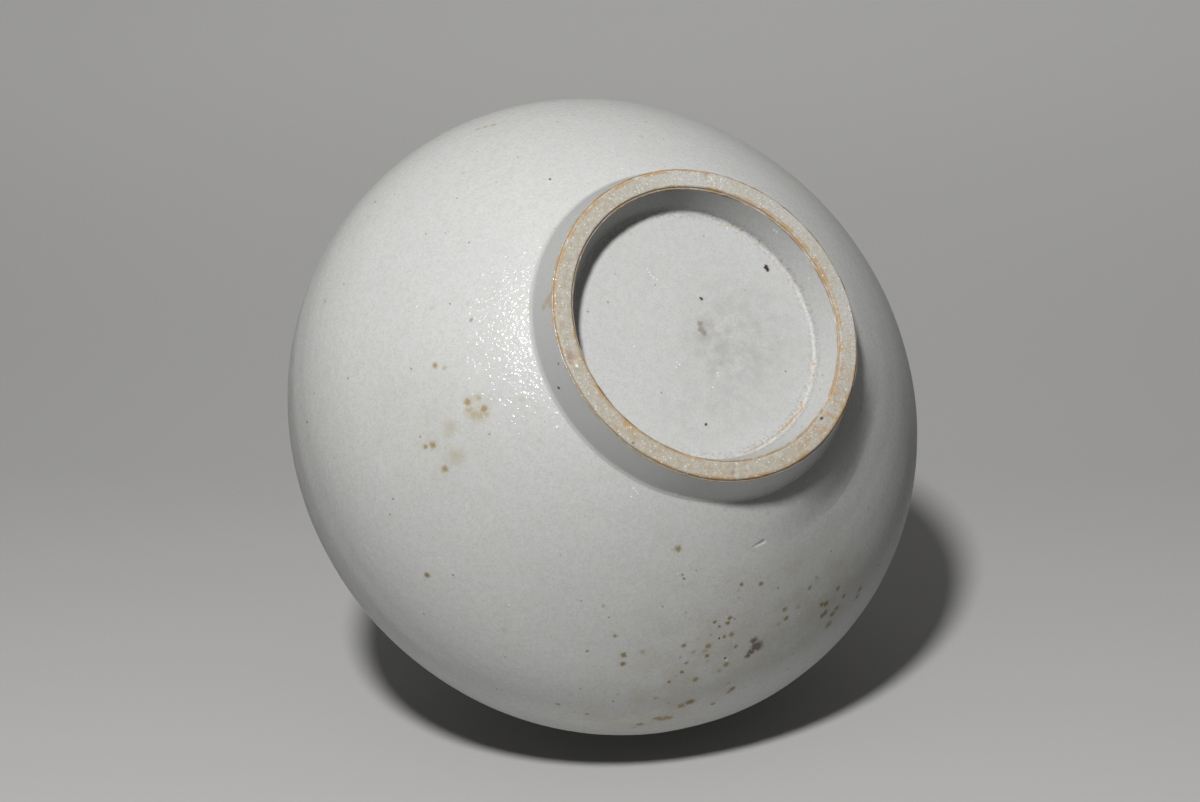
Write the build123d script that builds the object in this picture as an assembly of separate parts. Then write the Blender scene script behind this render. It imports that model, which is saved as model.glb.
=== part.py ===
from build123d import *
import os
from math import cos, radians, sin, tan

# Moon jar: two thrown porcelain bowls luted rim to rim at the belly, with a
# luted collar for a mouth, a luted foot ring, and a skin of glaze over all but
# the standing pad. Millimetres, Z up, origin at the middle of the standing pad.
# Every section is drawn as (radius, height) and turned about the Z axis.

# Belly, where the two rims meet (sizes are of the clay, under the glaze)
belly_radius = 149.5
seam_height = 125.2
seam_slip = 1.2
seam_bevel = 20.0
seam_bead_radius = 4.0

# Lower bowl
lower_wall = 7.5
lower_belly_arc = 92.5
lower_belly_sweep = 32.0
base_thickness = 8.0
floor_blend = 60.0

# Upper bowl
upper_wall = 6.5
upper_belly_arc = 92.5
upper_belly_sweep = 32.0
shoulder_rise = 105.0

# Foot ring
foot_height = 15.8
foot_top_radius = 73.5
foot_taper = 3.9
pad_width = 8.3
well_taper = 5.0
pad_edge_round = 1.0
foot_slip_thickness = 0.8

# Mouth collar
collar_height = 16.0
neck_radius = 65.5
neck_wall = 7.0
lip_flare = 3.0
lip_wall = 5.0
lip_round = 2.2
collar_slip_thickness = 0.8

# Glaze
glaze_thickness = 0.5
bare_edge_height = 0.9
foot_pool_radius = 4.0
well_pool_radius = 2.0
neck_pool_radius = 5.0

lower_rim_height = seam_height - seam_slip / 2
upper_rim_height = seam_height + seam_slip / 2
shoulder_height = upper_rim_height + shoulder_rise
floor_height = foot_height + base_thickness
pad_outer_radius = foot_top_radius - foot_taper
pad_inner_radius = pad_outer_radius - pad_width
well_radius = pad_inner_radius - well_taper
mouth_radius = neck_radius - neck_wall
lip_radius = neck_radius + lip_flare
lip_height = shoulder_height + collar_height
reach = 2 * (belly_radius + lip_height)


def right_of_axis():
    return Pos(reach / 2, 0) * Rectangle(reach, 2 * reach)


def above(height):
    return Pos(0, height + reach / 2) * Rectangle(2 * reach, reach)


def ring_box(inner_radius, outer_radius, bottom, top):
    middle = Pos((inner_radius + outer_radius) / 2, (bottom + top) / 2)
    return middle * Rectangle(outer_radius - inner_radius, top - bottom)


def flank_arc_radius(belly_arc, belly_sweep, end_radius, drop):
    """Radius of the arc that leaves the belly arc smoothly and passes through the bowl's cut end."""
    out_r = cos(radians(belly_sweep))
    out_z = -sin(radians(belly_sweep))
    to_r = end_radius - (belly_radius - belly_arc + belly_arc * out_r)
    to_z = -drop - belly_arc * out_z
    return -(to_r**2 + to_z**2) / (2 * (to_r * out_r + to_z * out_z))


def bowl_filled(rim_radius, belly_arc, belly_sweep, flank_arc):
    """Filled half section of a bowl with its rim at height 0: a belly arc, then a tangent flank arc."""
    belly = JernArc((rim_radius, 0), (0, -1), belly_arc, -belly_sweep)
    flank = JernArc(belly @ 1, belly % 1, flank_arc, belly_sweep - 90)
    bottom = flank @ 1
    closing = Polyline(bottom, (-reach, bottom.Y), (-reach, 0), (rim_radius, 0))
    return make_face(belly + flank + closing) & right_of_axis()


# Lower bowl: outside and inside share their arc centres, so the wall is even
lower_flank_arc = flank_arc_radius(
    lower_belly_arc, lower_belly_sweep, foot_top_radius, lower_rim_height - foot_height
)
lower_outside = Pos(0, lower_rim_height) * bowl_filled(
    belly_radius, lower_belly_arc, lower_belly_sweep, lower_flank_arc
)
lower_inside = Pos(0, lower_rim_height) * bowl_filled(
    belly_radius - lower_wall,
    lower_belly_arc - lower_wall,
    lower_belly_sweep,
    lower_flank_arc - lower_wall,
)
lower_inside = lower_inside & above(floor_height)
floor_corner = lower_inside.vertices().group_by(Axis.Y)[0].sort_by(Axis.X)[-1]
lower_inside = fillet(floor_corner, floor_blend)
bevel_rise = lower_wall * tan(radians(seam_bevel))
rim_bevel = Polygon(
    (belly_radius, lower_rim_height),
    (belly_radius - lower_wall, lower_rim_height + bevel_rise),
    (belly_radius - lower_wall, lower_rim_height),
    align=None,
)
lower_section = (lower_outside & above(foot_height)) - lower_inside + rim_bevel

# Upper bowl: the same way, turned over, its rim hollowed to sit on the bevel
upper_flank_arc = flank_arc_radius(
    upper_belly_arc, upper_belly_sweep, neck_radius, shoulder_rise
)
upper_outside = bowl_filled(belly_radius, upper_belly_arc, upper_belly_sweep, upper_flank_arc)
upper_inside = bowl_filled(
    belly_radius - upper_wall,
    upper_belly_arc - upper_wall,
    upper_belly_sweep,
    upper_flank_arc - upper_wall,
)
upper_wall_section = Pos(0, upper_rim_height) * mirror(upper_outside - upper_inside, about=Plane.XZ)
kept_wall = ring_box(mouth_radius, reach, upper_rim_height, shoulder_height)
upper_section = (upper_wall_section & kept_wall) - Pos(0, seam_slip) * rim_bevel

# Slip in the belly joint, squeezed out inside as a bead
joint_inner_radius = belly_radius - lower_wall
slip_layer = Polygon(
    (belly_radius, lower_rim_height),
    (belly_radius, upper_rim_height),
    (joint_inner_radius, upper_rim_height + bevel_rise),
    (joint_inner_radius, lower_rim_height + bevel_rise),
    align=None,
)
seam_bead = Pos(joint_inner_radius, seam_height + bevel_rise) * Circle(seam_bead_radius)
slip_section = slip_layer + seam_bead - lower_section - upper_section

# Foot ring: walls draw in towards the standing pad, whose edges are softened
foot_profile = Polygon(
    (pad_inner_radius, 0),
    (pad_outer_radius, 0),
    (foot_top_radius, foot_height),
    (well_radius, foot_height),
    align=None,
)
foot_profile = fillet(foot_profile.vertices().group_by(Axis.Y)[0], pad_edge_round)
ring_top = foot_height - foot_slip_thickness
foot_section = foot_profile - above(ring_top)
foot_slip_section = foot_profile & above(ring_top)

# Mouth collar: flares to a rounded lip, thinner than its root
collar_profile = Polygon(
    (mouth_radius, shoulder_height),
    (neck_radius, shoulder_height),
    (lip_radius, lip_height),
    (lip_radius - lip_wall, lip_height),
    align=None,
)
collar_profile = fillet(collar_profile.vertices().group_by(Axis.Y)[-1], lip_round)
collar_root = shoulder_height + collar_slip_thickness
collar_section = collar_profile & above(collar_root)
collar_slip_section = collar_profile - above(collar_root)

# Glaze: one even skin round the whole clay section, wiped off the standing pad
clay = (
    lower_section
    + upper_section
    + slip_section
    + foot_section
    + foot_slip_section
    + collar_section
    + collar_slip_section
)
skin = (offset(clay, glaze_thickness) - clay) & right_of_axis()
skin = skin - ring_box(0, foot_top_radius, -pad_edge_round, bare_edge_height)

# The skin is parted at the crest of the lip and by the bare pad
crest_radius = lip_radius - lip_wall / 2
root_middle_radius = neck_radius - neck_wall / 2
inside_of_crest = Polygon(
    (0, shoulder_height),
    (root_middle_radius, shoulder_height),
    (crest_radius, lip_height),
    (crest_radius, reach),
    (0, reach),
    align=None,
)
outside_of_crest = above(shoulder_height) - inside_of_crest
outer_skin = (skin - inside_of_crest).faces().sort_by(lambda face: face.bounding_box().max.X)[-1]
inside_skins = (skin - outside_of_crest).faces()
inner_skin = inside_skins.sort_by(lambda face: face.bounding_box().max.Y)[-1]
well_skin = inside_skins.sort_by(lambda face: face.bounding_box().max.X)[0]


def pooled(face, radius, height, pool_radius):
    """Round out the glaze's corner next to a corner of the clay, where glaze gathers."""
    by_distance = face.vertices().sort_by_distance((radius, height, 0))
    return face.fillet_2d(pool_radius, [by_distance[1]])


outer_skin = pooled(outer_skin, foot_top_radius, foot_height, foot_pool_radius)
outer_skin = pooled(outer_skin, neck_radius, shoulder_height, neck_pool_radius)
well_skin = pooled(well_skin, well_radius, foot_height, well_pool_radius)

sections = {
    "lower_bowl": lower_section,
    "upper_bowl": upper_section,
    "belly_slip": slip_section,
    "foot_ring": foot_section,
    "foot_slip": foot_slip_section,
    "mouth_collar": collar_section,
    "collar_slip": collar_slip_section,
    "outer_glaze": outer_skin,
    "inner_glaze": inner_skin,
    "foot_well_glaze": well_skin,
}

os.makedirs("parts", exist_ok=True)
for node, section in sections.items():
    solid = revolve(Plane.XZ * section, axis=Axis.Z)
    export_step(solid, f"parts/{node}.step")
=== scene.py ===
from math import atan2, cos, exp, pi, radians, sin, sqrt, tan

import bmesh
import bpy
from mathutils import Matrix, Vector, noise
from mathutils.bvhtree import BVHTree
from mathutils.kdtree import KDTree


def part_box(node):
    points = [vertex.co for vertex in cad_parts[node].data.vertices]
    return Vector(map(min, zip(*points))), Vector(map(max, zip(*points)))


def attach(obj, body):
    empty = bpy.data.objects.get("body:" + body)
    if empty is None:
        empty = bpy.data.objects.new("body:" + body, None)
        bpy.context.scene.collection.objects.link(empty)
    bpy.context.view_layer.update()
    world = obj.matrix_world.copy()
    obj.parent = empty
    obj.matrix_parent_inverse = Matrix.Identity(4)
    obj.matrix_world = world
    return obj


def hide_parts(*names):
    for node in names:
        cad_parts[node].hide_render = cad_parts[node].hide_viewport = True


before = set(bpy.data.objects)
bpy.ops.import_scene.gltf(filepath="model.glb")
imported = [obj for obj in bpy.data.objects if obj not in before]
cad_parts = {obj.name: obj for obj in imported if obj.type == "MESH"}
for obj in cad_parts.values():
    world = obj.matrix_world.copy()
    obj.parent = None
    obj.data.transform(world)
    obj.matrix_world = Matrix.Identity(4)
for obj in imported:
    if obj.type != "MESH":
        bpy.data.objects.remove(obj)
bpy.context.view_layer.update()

mm = 0.001
weld = mm / 1000

# Sizes of the clay, from the frame where a node's box gives them
belly_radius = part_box("lower_bowl")[1].x
foot_top_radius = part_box("foot_slip")[1].x
foot_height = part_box("foot_slip")[1].z
shoulder_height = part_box("upper_bowl")[1].z
lip_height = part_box("mouth_collar")[1].z
upper_rim_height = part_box("upper_bowl")[0].z
seam_slip = 1.2 * mm
seam_height = upper_rim_height - seam_slip / 2
lower_rim_height = upper_rim_height - seam_slip
seam_bevel = radians(20)
seam_bead = 4.0 * mm
base_thickness = 8.0 * mm
floor_height = foot_height + base_thickness
belly_arc = 92.5 * mm
belly_sweep = radians(32)
lower_wall = 7.5 * mm
upper_wall = 6.5 * mm
floor_blend = 60.0 * mm
pad_wear = 0.7 * mm
foot_taper = 3.9 * mm + pad_wear
pad_width = 8.3 * mm - pad_wear
well_taper = 5.0 * mm
pad_edge_round = 1.0 * mm
foot_slip = 0.8 * mm
neck_radius = 65.5 * mm
neck_wall = 7.0 * mm
lip_flare = 3.0 * mm
lip_wall = 5.0 * mm
lip_round = 2.2 * mm
pad_outer_radius = foot_top_radius - foot_taper
pad_inner_radius = pad_outer_radius - pad_width
well_radius = pad_inner_radius - well_taper
mouth_radius = neck_radius - neck_wall

# Glaze
glaze = 0.5 * mm
bare_edge = 0.9 * mm
edge_lip = 0.4 * mm
crest_gap = mm / 200
foot_pool = 4.0 * mm
well_pool = 2.0 * mm
neck_pool = 5.0 * mm
pit_depth = 1.2 * mm
glaze_shine = 0.25
coat_weight = 0.45

# Orange peel of each glaze: size, depth, roughness of the clear coat
outer_peel = (1.5 * mm, 0.52 * mm, 0.16)
inner_peel = (3.0 * mm, 0.2 * mm, 0.2)
well_peel = (3.0 * mm, 0.1 * mm, 0.25)

# Patterns in the glaze: sizes, and how strongly they show
cloud_size = 55 * mm
mottle_size = 9 * mm
mottle_share = 0.45
curdle_size = 2.4 * mm
curdle_share = 0.45
grain_size = 0.9 * mm
grain_share = 0.85
stain_blotch = 14 * mm
smudge_and_shade_blotch = 7 * mm
ragged_size = 1.4 * mm
ragged_share = 1.7
most_ragged = 2.3 * mm

# Scattered dots: spacing and reach
freckles = (14 * mm, 2.0 * mm)
# The pale pinpoints are painted highlights, the glints of tiny pits
pinpoint_glints = (9 * mm, 0.65 * mm)
dark_pinpoints = (7 * mm, 0.7 * mm)
sand_spacing = 1.2 * mm

# How far the jar went out of round in the kiln, level by level from foot to lip
oval = 0.0115
oval_levels = [1.0, 0.8, 0.9, 1.0, 0.8, 0.5]
cage_size = (0.32, 0.32, 0.26)

# How finely each piece is turned, and the steepest edge that is shaded soft
outer_segments = 300
inner_segments = 240
well_segments = 360
ring_segments = 720
soft_edge = radians(50)
clay_soft_edge = radians(40)

# Hand and wheel
ring_pitch = 9 * mm
ring_depth = 0.025 * mm
band_pitch = 21 * mm
band_depth = 0.16 * mm
flank_share = 0.6
dent_size = 38 * mm
dent_depth = 0.25 * mm
pad_grain_size = 1.3 * mm
pad_grain_depth = 0.14 * mm
seam_band = 9 * mm
seam_dip = 0.2 * mm
edge_swing = 0.5 * mm
edge_waves = 6
edge_ripples = 21
ripple_share = 0.6
outer_wave_start = Vector((0, 0, 9))
well_wave_start = Vector((0, 0, 3))
edge_ripple_start = Vector((0, 0, 5))

# Places in the photograph where the form sank, was cut or was chipped
slump_place = (850, 465)
slump_reach = 62 * mm
slump_depth = 4.0 * mm
slump_start = 20 * mm
cut_from = (753.5, 547)
cut_to = (763.5, 541.5)
cut_reach = 1.5 * mm
cut_depth = 0.45 * mm
cut_start_share = 0.25
cut_start_width = 0.6
cut_refined = 7 * mm
cut_divisions = 7

# Chips in the pad: place across, place down, reach and depth in millimetres
pad_chips = [
    (572, 360, 3.2, 0.7), (708, 176, 2.6, 0.5), (735, 474, 2.2, 0.6), (736, 468, 1.2, 0.5),
    (821, 419, 0.9, 0.4),
]

# The photograph's camera
image_width = 1200
image_height = 802
belly_radius_px = 320.9
belly_centre_px = Vector((606.95, 412.36))
camera_distance = 7.5 * (belly_radius + glaze)
camera_heading = radians(39)
foot_tilt = radians(27.42)
foot_lean = radians(42.32)
camera_over_floor = radians(18.15)
floor_roll = radians(-2.65)
sensor_mm = 36
camera_near = 0.01

# Light and floor
key_place = (-0.287, 0.88, 1.425)
key_size = 0.19
key_watts = 29
bounced_share = 0.55
glow_place = (-0.05, -1.1, -0.1)
glow_size = 0.7
glow_watts = 5.6
far_place = (0, 0, -1.9)
far_size = 0.8
far_watts = 60
mouth_lamp_height = 1.0
mouth_lamp_watts = 110
mouth_lamp_spread = 0.8
mouth_lamp_blend = 0.5
mouth_lamp_softness = 0.01
mouth_lamp_bounces = 3
room_above = (0.16, 0.16, 0.158, 1)
room_below = (0.02, 0.02, 0.0198, 1)
backdrop_tone = (0.36, 0.36, 0.355, 1)
floor_width = 1.4
floor_front = 0.33
sweep_start = 0.3
sweep_radius = 0.9
sweep_turn = radians(60)
sweep_rise = 0.2
sweep_steps = 32
floor_cloud_size = 0.3
floor_cloud_share = 0.04
floor_roughness = 0.85
floor_shine = 0.2
floor_pale = (0.485, 0.48, 0.472, 1)
# Paler colour of the sweep is painted light, brightening the backdrop as it rises
sweep_pale_painted_light = (0.575, 0.57, 0.56, 1)

# Colours
glaze_pale = (0.582, 0.582, 0.568, 1)
glaze_cool = (0.566, 0.577, 0.574, 1)
well_pale = (0.571, 0.577, 0.572, 1)
warm_glaze = (0.55, 0.535, 0.492, 1)
grain_grey = (0.47, 0.465, 0.445, 1)
foot_wall_grey = (0.44, 0.445, 0.43, 1)
stain_yellow = (0.42, 0.385, 0.27, 1)
# Grey of real smudges and of painted shade in the well
smudge_and_shade_grey = (0.34, 0.33, 0.31, 1)
pepper_colour = (0.30, 0.28, 0.235, 1)
freckle_tan = (0.49, 0.475, 0.41, 1)
# Painted highlight colour for the glints of tiny pits
pinpoint_glint_white = (0.72, 0.72, 0.71, 1)
bare_buff = (0.41, 0.365, 0.275, 1)
bare_white = (0.50, 0.48, 0.425, 1)
clean_white = (0.52, 0.51, 0.475, 1)
grit_grey = (0.33, 0.31, 0.265, 1)
flash_orange = (0.43, 0.27, 0.12, 1)
edge_tan = (0.36, 0.26, 0.14, 1)
sand_white = (0.72, 0.71, 0.67, 1)
halo_olive = (0.43, 0.39, 0.28, 1)
iron_black = (0.03, 0.027, 0.025, 0.95)
iron_grey = (0.16, 0.155, 0.145, 0.8)
iron_brown = (0.24, 0.18, 0.08, 0.95)
iron_olive = (0.295, 0.24, 0.12, 0.95)
iron_faint = (0.39, 0.36, 0.265, 0.85)
iron_gold = (0.33, 0.245, 0.115, 0.9)
soft_gold = (0.42, 0.365, 0.245, 0.8)
iron_rust = (0.15, 0.11, 0.095, 0.95)
iron_red = (0.03, 0.011, 0.004, 1.0)
rust_orange = (0.48, 0.29, 0.10, 0.9)
stain_tan = (0.40, 0.30, 0.18, 0.6)
smudge_brown = (0.25, 0.23, 0.18, 0.7)
# Painted highlight: white colour standing in for the glint of light in small pits
pit_glint_white = (0.82, 0.82, 0.81, 0.75)
chip_pink = (0.40, 0.28, 0.21, 0.8)

# Kiln marks and painted pit glints in the photograph: place across, place down, reach in millimetres
black_specks = [
    (550, 179, 0.65), (307, 422, 0.65), (719.3, 638.6, 0.7), (725.3, 658, 0.75), (558.8, 387.9, 0.9),
    (701.2, 298.7, 0.9), (705.9, 424.3, 0.75), (821.5, 418.5, 0.9),
]
grey_specks = [
    (453, 575, 0.65), (393, 499, 0.55), (497, 689, 0.65), (457, 198, 0.5), (426, 234, 0.5),
    (344, 284, 0.6), (518, 157, 0.5), (682.4, 575, 0.65), (684, 578.6, 0.65), (778, 588, 0.6),
    (613.5, 701.4, 0.65), (787, 669.6, 0.5), (878.3, 564.8, 0.65), (831.4, 551.2, 0.5),
    (558.5, 363.7, 0.7), (633, 443, 0.9),
]
brown_spots = [
    (742, 584.5, 0.9), (760.8, 584, 1.1), (714.7, 621.8, 0.95), (719.3, 626.6, 0.7), (730, 618.3, 1.1),
    (727.4, 623.3, 1.1), (734.8, 618.9, 0.5), (707.1, 655.8, 1.0), (682, 671.9, 1.0), (669.2, 682, 1.0),
    (732, 689, 1.6), (729, 691.5, 1.3), (690, 702, 2.2), (623.5, 655, 1.3), (622.5, 664, 1.2),
    (786, 618.5, 1.2), (826, 603.5, 1.7), (822, 604.5, 1.2), (825, 613, 1.7), (822.5, 615.5, 1.5),
    (836, 609, 1.6), (832.5, 613.5, 1.6), (427, 575, 1.2),
]
olive_spots = [
    (678, 549, 1.5), (731.6, 634.4, 1.3), (724.3, 636.7, 1.0), (684, 645.3, 1.0), (708.2, 646.3, 1.3),
    (736, 646.6, 0.9), (726.2, 664.4, 1.3), (686.2, 663, 0.9), (695.8, 679.2, 1.4), (682, 705.5, 2.0),
    (712.8, 704, 1.2), (662.7, 718.4, 2.8), (657.9, 718.4, 2.2), (667.5, 718, 2.4), (640, 724.3, 2.0),
    (615, 636, 1.0), (810, 587.5, 1.1), (784.8, 609.5, 1.3), (828.5, 624.5, 1.9), (838, 588, 1.4),
    (844, 596, 1.3), (859.8, 589.3, 1.5), (857, 596.5, 1.6), (587, 714, 1.0), (471, 320, 0.7),
    (375, 202, 0.7), (587, 651, 0.7), (558, 704, 0.9),
]
faint_spots = [
    (738.3, 590.8, 0.6), (738.8, 597.5, 0.6), (685.7, 612.4, 0.6), (711, 634.8, 0.7), (705.4, 651, 1.2),
    (707.5, 660.6, 0.7), (693.3, 652, 1.2), (676, 676, 0.6), (719, 670.8, 1.3), (728.5, 683.2, 0.9),
    (656, 698, 1.2), (668.8, 703, 1.0), (642.6, 652, 1.4), (634.4, 727.6, 1.3), (816.7, 577.4, 1.0),
    (798, 607, 1.1), (778.4, 624.6, 1.0), (603.4, 606, 0.8),
]
gold_spots = [
    (445, 469, 1.2), (467.5, 402, 1.3), (484, 409, 1.3), (433, 445, 1.2), (425.5, 446.5, 0.9),
    (435, 365.5, 1.0),
]
soft_blotches = [
    (444.5, 368, 0.8), (478.5, 397.5, 1.0), (469, 410, 1.5), (474.5, 414, 1.6), (480, 415, 1.6),
    (485, 414, 1.4), (478, 129, 1.0), (493, 125, 1.2), (485, 127, 1.0),
]
rust_spots = [(754, 640.5, 1.7), (756.5, 646.5, 3.0), (751, 652, 1.8), (748, 655.5, 1.4)]
red_spots = [(766, 267.3, 1.3), (767.3, 269.3, 1.2)]
orange_dots = [
    (732.5, 224.5, 0.8), (742, 230, 0.7), (759.5, 241, 0.6), (781, 261.5, 0.8), (788, 269, 0.7),
    (795, 281, 0.7), (806.5, 304.5, 0.6), (814, 364, 0.7), (813.5, 375.5, 0.8), (626, 424, 1.6),
]
orange_streak = [(801.5, 402), (802, 408), (798, 414), (789, 423), (781, 431)]
tan_streak = [(781, 431), (764, 443), (750, 451), (743, 453)]
streak_reach = 0.6
streak_step_px = 1.5
tan_smears = [(549.5, 298, 1.9), (547, 302, 1.8), (544, 306.5, 1.5), (550, 305, 1.2)]
brown_smudges = [(700, 324.5, 1.5), (701, 329.5, 1.6), (704, 333, 1.2)]
# Painted highlights: glints of light in small pits and on a hole's lip, drawn as white marks
painted_pit_glints = [
    (647, 269, 0.4), (649.5, 272, 0.5), (651, 275, 0.5), (653.5, 277.5, 0.5), (657, 279.5, 0.4),
    (677, 362, 0.5), (679.5, 364.5, 0.5), (676, 367, 0.4), (717.5, 373, 0.5), (718, 376, 0.4),
    (713, 387, 0.5), (774, 230, 0.7), (776.5, 231.5, 0.6), (633.5, 488, 0.6), (635, 491, 0.5),
    (638, 493.5, 0.5), (631, 496.5, 0.5), (604, 606, 0.5), (727, 660, 0.6), (577, 366, 0.8),
]
pink_chips = [(569.5, 353, 1.6), (573, 357.5, 1.5), (572, 363, 1.3)]


def streak(corners):
    """Small marks in a row, close enough to run into one line."""
    row = []
    for start, end in zip(corners, corners[1:]):
        run = Vector(end) - Vector(start)
        steps = max(1, round(run.length / streak_step_px))
        row += [(*(Vector(start) + run * step / steps), streak_reach) for step in range(steps)]
    return row


# Each kind of mark: colour and cover, softness of its edge, places
kiln_marks_and_pit_glints = [
    (iron_black, 0.0, black_specks),
    (iron_grey, 0.0, grey_specks),
    (iron_brown, 0.2, brown_spots),
    (iron_olive, 0.2, olive_spots),
    (iron_faint, 0.1, faint_spots),
    (iron_gold, 0.45, gold_spots),
    (soft_gold, 0.3, soft_blotches),
    (iron_rust, 0.3, rust_spots),
    (iron_red, 0.0, red_spots),
    (rust_orange, 0.0, orange_dots),
    (rust_orange, 0.0, streak(orange_streak)),
    (stain_tan, 0.0, streak(tan_streak)),
    (stain_tan, 0.2, tan_smears),
    (smudge_brown, 0.1, brown_smudges),
    # painted highlights of pits
    (pit_glint_white, 0.0, painted_pit_glints),
    (chip_pink, 0.2, pink_chips),
]

# Broad stains in the photograph: place across, place down, reach in millimetres, depth
body_stain_places = [
    (700, 660, 55, 0.4), (800, 610, 50, 0.5), (640, 715, 50, 0.5), (840, 590, 35, 0.4),
    (440, 430, 50, 0.15), (476, 409, 9, 1.0), (450, 429, 6, 0.8), (456, 455, 7, 0.8),
]
# Small real smudges, and broad grey patches on the well floor's right and lower side that are painted
# shade
well_smudge_and_shade_places = [
    (705, 331, 8, 0.55), (714, 338, 16, 0.3), (740, 342, 44, 0.5), (724, 366, 11, 0.3),
    (650, 272, 9, 0.15), (700, 415, 32, 0.2),
]
pad_flash_places = [
    (847, 400, 45, 0.8), (815, 455, 30, 0.8), (626, 425, 10, 0.8), (690, 460, 45, 0.4),
    (820, 240, 35, 0.6),
]
pad_clean_places = [(690, 180, 40, 0.9), (780, 230, 35, 0.8), (850, 320, 40, 0.9), (835, 420, 25, 0.5)]


def activate(piece):
    bpy.ops.object.select_all(action="DESELECT")
    piece.select_set(True)
    bpy.context.view_layer.objects.active = piece


class SectionPen:
    """Draws a half section, point by point, in the plane of X and Z."""

    def __init__(self, name, point):
        bpy.ops.object.select_all(action="DESELECT")
        bpy.ops.mesh.primitive_plane_add(size=mm)
        self.piece = bpy.context.object
        self.piece.name = name
        self.piece.data.name = name
        bpy.ops.object.mode_set(mode="EDIT")
        bpy.ops.mesh.merge(type="CENTER")
        bpy.ops.transform.translate(value=(point.x, 0, point.y))
        self.at = point.copy()

    def line_to(self, point, steps=1):
        step = (point - self.at) / steps
        for _ in range(steps):
            bpy.ops.mesh.extrude_region_move(TRANSFORM_OT_translate={"value": (step.x, 0, step.y)})
        self.at = point.copy()

    def arc_to(self, centre, toward, steps):
        """Go round a centre until the pen lies in the given direction from it."""
        start = self.at - centre
        turn = (atan2(toward.y, toward.x) - atan2(start.y, start.x) + pi) % (2 * pi) - pi
        bpy.ops.mesh.spin(steps=steps, angle=turn, center=(centre.x, 0, centre.y), axis=(0, 1, 0))
        self.at = centre + toward.normalized() * start.length

    def mark_face(self):
        """What is drawn so far is the side that shows."""
        bpy.ops.mesh.select_all(action="SELECT")
        bpy.ops.object.vertex_group_add()
        self.piece.vertex_groups.active.name = "face"
        bpy.ops.object.vertex_group_assign()
        drawn = bmesh.from_edit_mesh(self.piece.data)
        last = min(drawn.verts, key=lambda v: (Vector((v.co.x, v.co.z)) - self.at).length)
        bpy.ops.mesh.select_all(action="DESELECT")
        last.select_set(True)
        drawn.select_flush_mode()

    def turn(self, segments):
        """Turn the section about the jar's axis into a closed piece."""
        bpy.ops.mesh.select_all(action="SELECT")
        bpy.ops.mesh.remove_doubles(threshold=weld)
        bpy.ops.object.mode_set(mode="OBJECT")
        wheel = self.piece.modifiers.new("wheel", "SCREW")
        wheel.steps = segments
        wheel.render_steps = segments
        wheel.use_merge_vertices = True
        wheel.merge_threshold = weld
        activate(self.piece)
        bpy.ops.object.modifier_apply(modifier="wheel")
        bpy.ops.object.mode_set(mode="EDIT")
        bpy.ops.mesh.select_all(action="SELECT")
        bpy.ops.mesh.remove_doubles(threshold=weld)
        bpy.ops.mesh.normals_make_consistent(inside=False)
        bpy.ops.object.mode_set(mode="OBJECT")
        bpy.ops.object.shade_smooth_by_angle(angle=soft_edge)
        return self.piece


def bowl_arcs(rim_height, end, up):
    """Belly arc's centre, flank arc's centre and flank arc's radius, for a bowl that ends at a point."""
    belly_centre = Vector((belly_radius - belly_arc, rim_height))
    outward = Vector((cos(belly_sweep), up * sin(belly_sweep)))
    joint = belly_centre + belly_arc * outward
    to_end = end - joint
    flank_radius = -to_end.length_squared / (2 * to_end.dot(outward))
    return belly_centre, joint - flank_radius * outward, flank_radius


def pool_round(wall_point, wall_direction, arc_centre, arc_radius, pool, leaving):
    """Middle of the round that glaze makes between a straight wall and a bowl's arc."""
    across = Vector((wall_direction.y, -wall_direction.x))
    start = wall_point + across * pool - arc_centre
    half = start.dot(wall_direction)
    rest = start.length_squared - (arc_radius + pool) ** 2
    way = -half + leaving * sqrt(half * half - rest)
    return arc_centre + start + wall_direction * way


foot_end = Vector((foot_top_radius, foot_height))
neck_end = Vector((neck_radius, shoulder_height))
lower_belly, lower_flank, lower_flank_radius = bowl_arcs(lower_rim_height, foot_end, -1)
upper_belly, upper_flank, upper_flank_radius = bowl_arcs(upper_rim_height, neck_end, 1)
well_end = Vector((well_radius, foot_height))
pad_outer = Vector((pad_outer_radius, 0))
pad_inner = Vector((pad_inner_radius, 0))
outward = Vector((1, 0))
upward = Vector((0, 1))
below_belly = Vector((cos(belly_sweep), -sin(belly_sweep)))
above_belly = Vector((cos(belly_sweep), sin(belly_sweep)))
foot_wall = (foot_end - pad_outer).normalized()
foot_outward = Vector((foot_wall.y, -foot_wall.x))
well_wall = (well_end - pad_inner).normalized()
well_outward = Vector((-well_wall.y, well_wall.x))
collar_wall = Vector((lip_flare, lip_height - shoulder_height)).normalized()
collar_outward = Vector((collar_wall.y, -collar_wall.x))


def on_wall(base, direction, height):
    return base + direction * ((height - base.y) / direction.y)


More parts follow.
